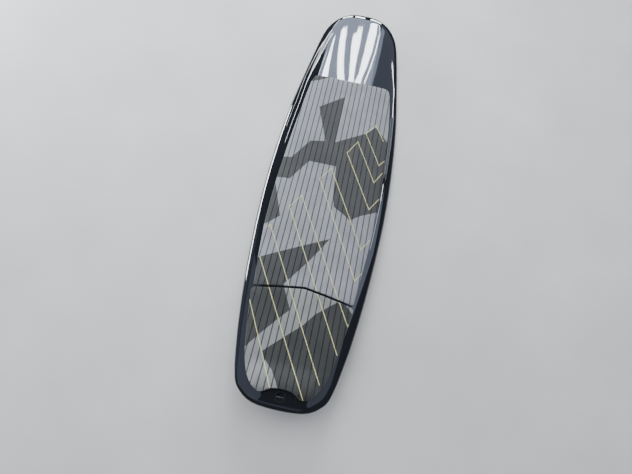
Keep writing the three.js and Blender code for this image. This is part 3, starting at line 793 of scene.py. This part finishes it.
EDGE_RINGS = (0.2, 0.5, 1)  # shares of the edge radius where the mesh has rings
WEDGE_ROOM_DROP, WEDGE_DROP = 0.5, 0.8
FINE_ROW, COARSE_ROW, FINE_PAST_KICK, COARSE_PAST_KICK, ROW_OVERRUN = 5, 24, 8, 14, 3
JOIN_WITHIN, ZERO_LENGTH = 1e-3, 1e-9
REAR_STEPS, REAR_TO = 4, 135
# The right half of the tail pad's rear edge and of the wedge, as (x, y) from the arch's peak on.
TAIL_REAR = [
    (0, ARCH_PEAK), (22, ARCH_PEAK - 2), (38, ARCH_PEAK - 7), (50, PAD_REAR + 3),
    (62, PAD_REAR), (76, 44), (93, 57), (109, 76), (120.5, 100),
]
WEDGE_SIDE = [
    (0, ARCH_PEAK + 5), (22, ARCH_PEAK + 3), (38, ARCH_PEAK - 2), (50, PAD_REAR + 8),
    (62, PAD_REAR + 5), (71, 49), (88, 62), (103, 76), (111.5, 96), (111.5, 114), (60, 114),
    (0, 114),
]
# The two groove indices pick painted shade: the same foam, darkened where it lies in a groove.
LIGHT, DARK, SHADED_GROOVE, SHADED_DARK_GROOVE, LINE = range(5)  # SHADED_GROOVE is also added to LIGHT or DARK

# Darker areas of the two-tone pads, each a closed outline that may run past the pad's edge.
DARK_PATCHES = [
    [(-215, 1195), (-157, 1215), (-122, 1228), (-82, 1252), (-82, 1280), (-215, 1280)],
    [(-215, 839), (-156, 842), (-102, 931), (-46, 942), (-101, 1096), (-9, 1167), (-8, 946),
     (102, 1015), (135, 1053), (215, 975), (215, 702), (137, 659), (101, 632), (75, 651),
     (38, 671), (27, 713), (15, 840), (-88, 840), (-140, 750), (-215, 746)],
    [(-215, 735), (-189, 728), (-162, 657), (-139, 595), (-175, 560), (-215, 540)],
    [(-215, 410), (-169, 434), (48, 548), (-5, 454), (-69, 359), (-30, 283), (-56, 252), (-98, 199),
     (-134, 150), (-215, 100)],
    [(108, 336), (50, 286), (19, 244), (-31, 197), (-83, 146), (-72, 128), (-42, 102), (-21, 72),
     (-9, 50), (-9, 20), (215, 20), (215, 270), (167, 309), (136, 338)],
]
YELLOW_LINES = [
    [(175, 999), (134, 1063), (102, 1015), (172, 886), (191, 914)],
    [(191, 860), (164, 807), (77, 969), (45, 910), (162, 692), (193, 746)],
    [(185, 580), (157, 534), (-1, 829), (-34, 774), (155, 420), (174, 455)],
    [(162, 285), (156, 271), (-83, 691), (-115, 638), (138, 181)],
    [(102, 89), (-164, 557), (-172, 545)],
    [(-169, 437), (64, 40)],
    [(-165, 296), (-31, 49)],
]
LINE_WIDTH = 2.4


def seam_y(x):
    return SEAM_AT - SEAM_SWEEP * (np.abs(x) / SEAM_HALF_SPAN) ** SEAM_POWER


def pad_half(y, inset=PAD_INSET):
    return half_width(y) - inset


def eased(v):
    v = np.clip(v, 0, 1)
    return v * v * (3 - 2 * v)


def kick(x, y):
    ramp = 1 - eased((y - KICK_CREST) / (KICK_RAMP_FROM - KICK_CREST))
    rear_fall = 1 - KICK_FALL * eased((KICK_CREST - KICK_FALL_FROM - y) / KICK_FALL_OVER)
    across = 1 - eased((np.abs(x) - KICK_HALF_WIDTH + KICK_SIDE_FROM) / KICK_SIDE_OVER)
    return KICK_HEIGHT * np.where(y > KICK_CREST, ramp, 1) * rear_fall * across


def mirrored(right_side):
    """Closed counter-clockwise outline from its right half, given from the rear to the front."""
    left = [(-x, y) for x, y in reversed(right_side) if x > 0]
    return np.array(right_side + left, float)


def seam_corner(edge, side):
    """Blunted corner from the seam to a pad's edge: side is 1 on the front pad, -1 on the tail."""
    (far, near), (low_cut, high_cut) = SEAM_CORNER, SEAM_CORNER_CUT
    return [
        (edge - far, seam_y(edge - far) + side * SEAM_GAP / 2),
        (edge - near, seam_y(edge) + side * SEAM_GAP / 2 + side * low_cut),
        (edge, seam_y(edge) + side * SEAM_GAP / 2 + side * high_cut),
    ]


def front_outline():
    points = [(x, seam_y(x) + SEAM_GAP / 2) for x in range(0, SEAM_LAST + 1, SEAM_STEP)]
    points += seam_corner(pad_half(SEAM_EDGE_FRONT), 1)
    points += [(pad_half(y), y) for y in range(FRONT_EDGE_FROM, FRONT_EDGE_TO, FRONT_EDGE_STEP)]
    corner = pad_half(PAD_FRONT) - PAD_FRONT_CORNER
    for k in range(CORNER_STEPS + 1):
        a = math.pi / 2 * k / CORNER_STEPS
        points.append((corner + PAD_FRONT_CORNER * math.cos(a),
                       PAD_FRONT - PAD_FRONT_CORNER * (1 - math.sin(a))))
    points += [(x, PAD_FRONT) for x in range(FRONT_LAST, -1, -FRONT_STEP)]
    outline = mirrored(points)
    x, y = outline.T
    on_left = np.clip(-(x + SHIFT_FROM) / SHIFT_OVER, 0, 1)
    outline[:, 0] += np.interp(y, *LEFT_EDGE_SHIFT) * on_left
    return outline


def tail_outline():
    rear = np.array([*TAIL_REAR, (pad_half(REAR_TO, TAIL_PAD_INSET), REAR_TO)], float)
    points = [tuple(p) for p in spline(rear, REAR_STEPS)]
    side = range(TAIL_EDGE_FROM, TAIL_EDGE_TO, TAIL_EDGE_STEP)
    points += [(pad_half(y, TAIL_PAD_INSET), y) for y in side]
    points += reversed(seam_corner(pad_half(SEAM_EDGE_TAIL, TAIL_PAD_INSET), -1))
    points += [(x, seam_y(x) - SEAM_GAP / 2) for x in range(SEAM_LAST, -1, -SEAM_STEP)]
    return mirrored(points)


def distance_to(points, loop, closed=True):
    """Distance of each point to a run of straight segments."""
    a = np.asarray(loop, float)
    b = np.roll(a, -1, axis=0)
    if not closed:
        a, b = a[:-1], b[:-1]
    best = np.full(len(points), np.inf)
    for start, end in zip(a, b):
        along = end - start
        t = np.clip(((points - start) @ along) / max(ZERO_LENGTH, along @ along), 0, 1)
        best = np.minimum(best, np.linalg.norm(start + t[:, None] * along - points, axis=1))
    return best


def inside(points, loop):
    """Even-odd test of each point against a closed outline."""
    a = np.asarray(loop, float)
    b = np.roll(a, -1, axis=0)
    hit = np.zeros(len(points), bool)
    for (x0, y0), (x1, y1) in zip(a, b):
        if y0 == y1:
            continue
        crosses = (y0 > points[:, 1]) != (y1 > points[:, 1])
        hit ^= crosses & (points[:, 0] < (x1 - x0) * (points[:, 1] - y0) / (y1 - y0) + x0)
    return hit


def groove_offset(x):
    """Distance across the board to the nearest groove's middle."""
    return np.abs(np.mod(x / GROOVE_PITCH, 1) - 0.5) * GROOVE_PITCH


def groove_drop(x):
    share = np.clip(groove_offset(x) / (GROOVE_WIDTH / 2), 0, 1)
    return GROOVE_DEPTH * (1 - share**GROOVE_POWER)


def edge_drop(distance, radius):
    share = np.clip(1 - distance / radius, 0, 1)
    return radius * (1 - np.sqrt(1 - share**2))


def line_sides(path):
    """Closed outline of a thin line along the path."""
    points = np.asarray(path, float)
    along = np.diff(points, axis=0)
    along /= np.linalg.norm(along, axis=1)[:, None]
    across = np.stack([-along[:, 1], along[:, 0]], -1)
    before, after = np.vstack([across[:1], across]), np.vstack([across, across[-1:]])
    shift = (before + after) / (1 + (before * after).sum(1))[:, None] * LINE_WIDTH / 2
    return [*(points + shift), *(points - shift)[::-1]]


def grid_rows(y):
    """Places along the board where the pad's mesh has points, closer together on the kick."""
    low, high = y.min(), y.max()
    fine = [v for v in np.arange(low, KICK_RAMP_FROM + FINE_PAST_KICK, FINE_ROW) if v < high]
    coarse_from = max(low, KICK_RAMP_FROM + COARSE_PAST_KICK)
    coarse = np.arange(coarse_from, high, COARSE_ROW)
    return [low - ROW_OVERRUN, *fine, *coarse, high + ROW_OVERRUN]


def pad_triangles(outline, radius, pattern):
    """Flat points and triangles of a pad, with grooves, patch edges and lines on mesh edges."""
    points, edges = [], []

    def add(run, closed):
        first = len(points)
        points.extend(Vector((float(x), float(y))) for x, y in run)
        edges.extend((first + k, first + k + 1) for k in range(len(run) - 1))
        if closed:
            edges.append((first + len(run) - 1, first))

    add(outline, True)
    for share in EDGE_RINGS:
        add(shrunk(outline, radius * share), True)
    rows = grid_rows(outline[:, 1])
    half = outline[:, 0].max()
    reach = math.ceil(half / GROOVE_PITCH) + 1
    for k in range(-reach, reach):
        for offset in GROOVE_LINES if pattern else PLAIN_LINES:
            x = (k + 0.5) * GROOVE_PITCH + offset
            if abs(x) < half:
                add([(x, y) for y in rows], False)
    if pattern:
        for patch in DARK_PATCHES:
            add(patch, True)
        for path in YELLOW_LINES:
            add(line_sides(path), True)
    out = delaunay_2d_cdt(points, edges, [], 0, JOIN_WITHIN)
    flat = np.array([(p.x, p.y) for p in out[0]])
    triangles = np.array([f for f in out[2] if len(f) == 3])
    triangles = triangles[inside(flat[triangles].mean(1), outline)]
    a, b, c = (flat[triangles[:, corner]] for corner in range(3))
    area = (b[:, 0] - a[:, 0]) * (c[:, 1] - a[:, 1]) - (b[:, 1] - a[:, 1]) * (c[:, 0] - a[:, 0])
    triangles[area < 0] = triangles[area < 0][:, ::-1]
    used = np.unique(triangles)
    renumber = np.full(len(flat), -1)
    renumber[used] = np.arange(len(used))
    return flat[used], renumber[triangles]


def pattern_of(centres):
    """Finish of each triangle of a patterned pad, from its centre."""
    finish_of = np.full(len(centres), LIGHT)
    for patch in DARK_PATCHES:
        finish_of[inside(centres, patch)] = DARK
    # Triangles in a groove take the darker groove finish: painted shade in the groove.
    finish_of[groove_offset(centres[:, 0]) < GROOVE_WIDTH / 2] += SHADED_GROOVE
    for path in YELLOW_LINES:
        finish_of[distance_to(centres, path, False) < LINE_WIDTH / 2] = LINE
    return list(finish_of)


def pad_body(name, outline, top, bottom, materials, pattern=True, radius=PAD_EDGE_RADIUS):
    """Closed foam body over an outline, between two surfaces."""
    flat, triangles = pad_triangles(outline, radius, pattern)
    x, y = flat.T
    drop = edge_drop(distance_to(flat, outline), radius)
    if pattern:
        drop = np.maximum(drop, groove_drop(x))
    upper = np.stack([x, y, top(x, y) - drop], -1)
    lower = np.stack([x, y, np.minimum(bottom(x, y), upper[:, 2] - LEAST_THICKNESS)], -1)

    count = len(flat)
    finish = pattern_of(flat[triangles].mean(1)) if pattern else [LIGHT] * len(triangles)
    # On patterned pads the sides and underside take the darkest groove finish, painted shade.
    sides_and_underside_finish = SHADED_DARK_GROOVE if pattern else LIGHT
    faces = [tuple(t) for t in triangles] + [tuple(t[::-1] + count) for t in triangles]
    finish += [sides_and_underside_finish] * len(triangles)
    sides = dict.fromkeys(side for i, j, k in triangles for side in ((i, j), (j, k), (k, i)))
    for start, end in sides:
        if (end, start) not in sides:
            faces.append((end, start, start + count, end + count))
            finish.append(sides_and_underside_finish)
    both = np.concatenate([upper, lower])
    return piece_of(name, both, faces, materials, sharp=PAD_SHARP_ANGLE, finish_of=finish)


def pad_top(x, y):
    return deck_z(x, y) + GAP + PAD_THICKNESS + kick(x, y)


def pad_bed(x, y):
    return deck_z(x, y) + GAP


def wedge_room(x, y):
    """Underside of the tail pad, with room for the wedge."""
    return deck_z(x, y) + GAP + np.maximum(0, kick(x, y) - WEDGE_ROOM_DROP)


def wedge_top(x, y):
    return deck_z(x, y) + GAP + np.maximum(LEAST_THICKNESS, kick(x, y) - WEDGE_DROP)


front_pad = pad_body("front_deck_pad", front_outline(), pad_top, pad_bed, FRONT_PAD_FINISHES)
tail_pad = pad_body("tail_deck_pad", tail_outline(), pad_top, wedge_room, TAIL_PAD_PAINTED_SHADE_FINISHES)
kick_block = pad_body(
    "kick_wedge", mirrored(WEDGE_SIDE), wedge_top, pad_bed, [KICK_FOAM], False, KICK_EDGE_RADIUS
)
for piece, node, slot in (
    (front_pad, "front_pad", "front_pad_foam"),
    (tail_pad, "tail_pad", "tail_pad_foam"),
    (kick_block, "tail_kick_block", "kick_foam"),
):
    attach(piece, "board")
    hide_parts(node)

# ---------------------------------------------------------------- CAD pieces that stay
KEPT = {
    "core_left": BEAD_FOAM, "core_right": BEAD_FOAM, "stringer": WOOD,
    "leash_plug_block": DENSE_FOAM, **{f"fin_block_{name}": DENSE_FOAM for name in FINS},
}
for node, material in KEPT.items():
    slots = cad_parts[node].material_slots
    for index in range(len(slots)):
        slots[index].material = material

# ---------------------------------------------------------------- floor and light
FLOOR_CELLS, FLOOR_HALF_SIZE, FLOOR_Z = 24, 14, -0.0007
WORLD_COLOUR, WORLD_STRENGTH = (0.84, 0.88, 0.95, 1), 0.15


def pale_floor():
    f = Finish("pale_floor")
    soft = f.span(f.noise(3, detail=4), 0, 1)
    f.colour(f.mix(soft, (0.62, 0.615, 0.605), (0.70, 0.695, 0.685)))
    f.roughness(f.span(f.noise(12), 0.75, 0.9))
    f.bump((f.noise(500), 100e-6))
    return f.material


floor_mesh = bpy.data.meshes.new("floor")
grid = bmesh.new()
bmesh.ops.create_grid(
    grid, x_segments=FLOOR_CELLS, y_segments=FLOOR_CELLS, size=FLOOR_HALF_SIZE
)
grid.to_mesh(floor_mesh)
grid.free()
floor = link("floor", floor_mesh, [pale_floor()])
floor.location = (0, 0, FLOOR_Z)

world = bpy.data.worlds.new("studio")
bpy.context.scene.world = world
world.use_nodes = True
background = world.node_tree.nodes["Background"]
background.inputs["Color"].default_value = WORLD_COLOUR
background.inputs["Strength"].default_value = WORLD_STRENGTH


def panel(name, centre, target, width, height, radiance, tint, glossy=True):
    """Soft rectangular light facing a point, as bright per area as asked."""
    data = bpy.data.lights.new(name, "AREA")
    data.shape = "RECTANGLE"
    data.size, data.size_y = width, height
    data.energy = radiance * width * height * math.pi
    data.color = tint
    light = bpy.data.objects.new(name, data)
    bpy.context.scene.collection.objects.link(light)
    light.location = centre
    light.rotation_mode = "QUATERNION"
    light.rotation_quaternion = (Vector(target) - Vector(centre)).to_track_quat("-Z", "Y")
    light.visible_camera = False
    light.visible_glossy = glossy
    return light


# The room's windows, as slats of light on an upright wall beyond the nose. Every slat runs from one
# (x, height) to another and has a width, in metres; slats side by side make one slanting pane.
WALL_Y = 3.0
COOL, HAZE, PLAIN = (0.93, 0.97, 1), (0.66, 0.76, 1), (1, 1, 1)
TALL_PANES = [
    ((-0.695, 2.60), (-0.770, 2.95), 0.045), ((-0.685, 2.60), (-0.510, 2.95), 0.045),
    ((-0.700, 2.70), (-0.710, 2.95), 0.08), ((-0.680, 2.70), (-0.600, 2.95), 0.09),
    ((-0.445, 2.60), (-0.190, 2.95), 0.075), ((-0.365, 2.63), (-0.172, 2.95), 0.075),
    ((-0.130, 2.69), (-0.035, 2.95), 0.06), ((-0.072, 2.66), (-0.062, 2.95), 0.06),
    ((0.125, 2.30), (0.052, 2.95), 0.065), ((0.190, 2.30), (0.110, 2.75), 0.08),
    ((0.270, 2.30), (0.150, 2.70), 0.065), ((0.150, 2.70), (0.014, 2.95), 0.065),
]
THIN_PANES = [
    ((-0.970, 2.75), (-0.885, 2.62), 0.014),
    ((0.150, 2.90), (0.308, 2.62), 0.018), ((0.308, 2.62), (0.375, 2.09), 0.018),
]
LOW_PANES = [
    ((-0.80, 1.25), (-0.29, 1.25), 0.4), ((-0.19, 1.25), (-0.03, 1.25), 0.4),
    ((0.04, 1.25), (0.46, 1.25), 0.4),
]
NEAR_FRAMES = [
    ((-0.86, 2.46), (-1.30, 2.40), 0.03), ((-1.30, 2.40), (-1.88, 2.21), 0.05),
    ((-1.86, 2.21), (-1.90, 2.50), 0.05), ((-1.90, 2.50), (-2.52, 2.87), 0.05),
]
FAR_FRAMES = [
    ((-0.93, 1.20), (-1.06, 2.20), 0.05), ((-1.05, 2.22), (-1.48, 2.13), 0.03),
    ((-1.48, 2.13), (-2.46, 1.23), 0.05), ((-2.46, 1.23), (-2.50, 1.85), 0.06),
    ((-2.50, 1.85), (-3.10, 1.90), 0.08),
]
RIGHT_FRAMES = [
    ((1.42, 2.23), (2.19, 1.73), 0.04), ((2.10, 1.74), (2.30, 2.02), 0.11),
    ((2.78, 3.16), (3.08, 3.48), 0.09),
]
FAR_RIGHT_FRAMES = [
    ((2.07, 2.32), (2.60, 3.12), 0.04), ((2.52, 1.65), (3.08, 2.83), 0.05),
    ((3.08, 3.48), (4.30, 5.30), 0.10),
]
# name, slats, radiance
WINDOWS = [
    ("tall_pane", TALL_PANES, 42), ("thin_pane", THIN_PANES, 36), ("low_pane", LOW_PANES, 40),
    ("near_frame", NEAR_FRAMES, 26), ("far_frame", FAR_FRAMES, 16),
    ("right_frame", RIGHT_FRAMES, 34), ("far_right_frame", FAR_RIGHT_FRAMES, 10),
]
# The dim wall behind the windows: name, start, end, width, radiance, tint, how far behind them.
WALL = [
    ("wall_haze", (-0.35, 1.75), (-0.35, 3.00), 1.3, 5.0, HAZE, 0.03),
    ("left_corner_haze", (-1.00, 2.30), (-1.12, 2.52), 0.14, 5.0, HAZE, 0.03),
    ("right_haze", (0.25, 3.00), (0.55, 2.30), 0.11, 2.6, HAZE, 0.03),
    ("left_haze", (-1.05, 2.28), (-1.85, 2.18), 0.2, 8.0, COOL, 0.02),
    ("right_frame_haze", (2.30, 1.75), (2.75, 2.95), 0.4, 1.8, HAZE, 0.02),
    ("right_dusk", (0.22, 2.4), (2.2, 2.4), 1.2, 0.68, HAZE, 0.05),
]
# The rest of the room: name, centre, the point it faces, width, height, radiance, tint.
PANELS = [
    ("left_windows", (-2.8, 1.35, 0.50), (0, 1.35, 0.50), 2.5, 0.36, 50, COOL),
    ("left_softbox", (-1.55, -0.55, 2.65), (-0.2, -0.75, 0.06), 2.4, 2.5, 0.66, HAZE),
    ("left_dusk", (-3.0, 0, 1.3), (-0.2, -0.6, 0.06), 2.2, 1.1, 0.35, HAZE),
    ("right_softbox", (1.1, -0.12, 2.9), (0.15, -0.72, 0.06), 1.3, 1.3, 0.65, HAZE),
    ("right_wall", (1.947, 1.073, 2.3), (0.2, -0.3, 0.06), 1.0, 1.55, 1.7, HAZE),
    ("rear_softbox", (-0.5, -2.2, 3.0), (0, -0.78, 0.06), 2.6, 1.0, 0.4, HAZE),
]
CEILING = ("ceiling", (-0.4, 0.5, 3.2), (0, 0, 0), 3.0, 2.0, 5.15, PLAIN)


def slat(name, start, end, width, radiance, tint, behind=0.0):
    """Narrow upright rectangle of light on the wall, facing the board."""
    along = Vector((end[0] - start[0], 0, end[1] - start[1]))
    centre = ((start[0] + end[0]) / 2, WALL_Y + behind, (start[1] + end[1]) / 2)
    light = panel(name, centre, (centre[0], 0, centre[2]), along.length, width, radiance, tint)
    across, back = along.normalized(), Vector((0, 1, 0))
    turn = Matrix((across, back.cross(across), back)).transposed()
    light.rotation_quaternion = turn.to_quaternion()


for group, slats, radiance in WINDOWS:
    for k, (start, end, width) in enumerate(slats):
        slat(f"{group}_{k}", start, end, width, radiance, COOL)
for row in WALL:
    slat(*row)
for row in PANELS:
    panel(*row)
panel(*CEILING, glossy=False)
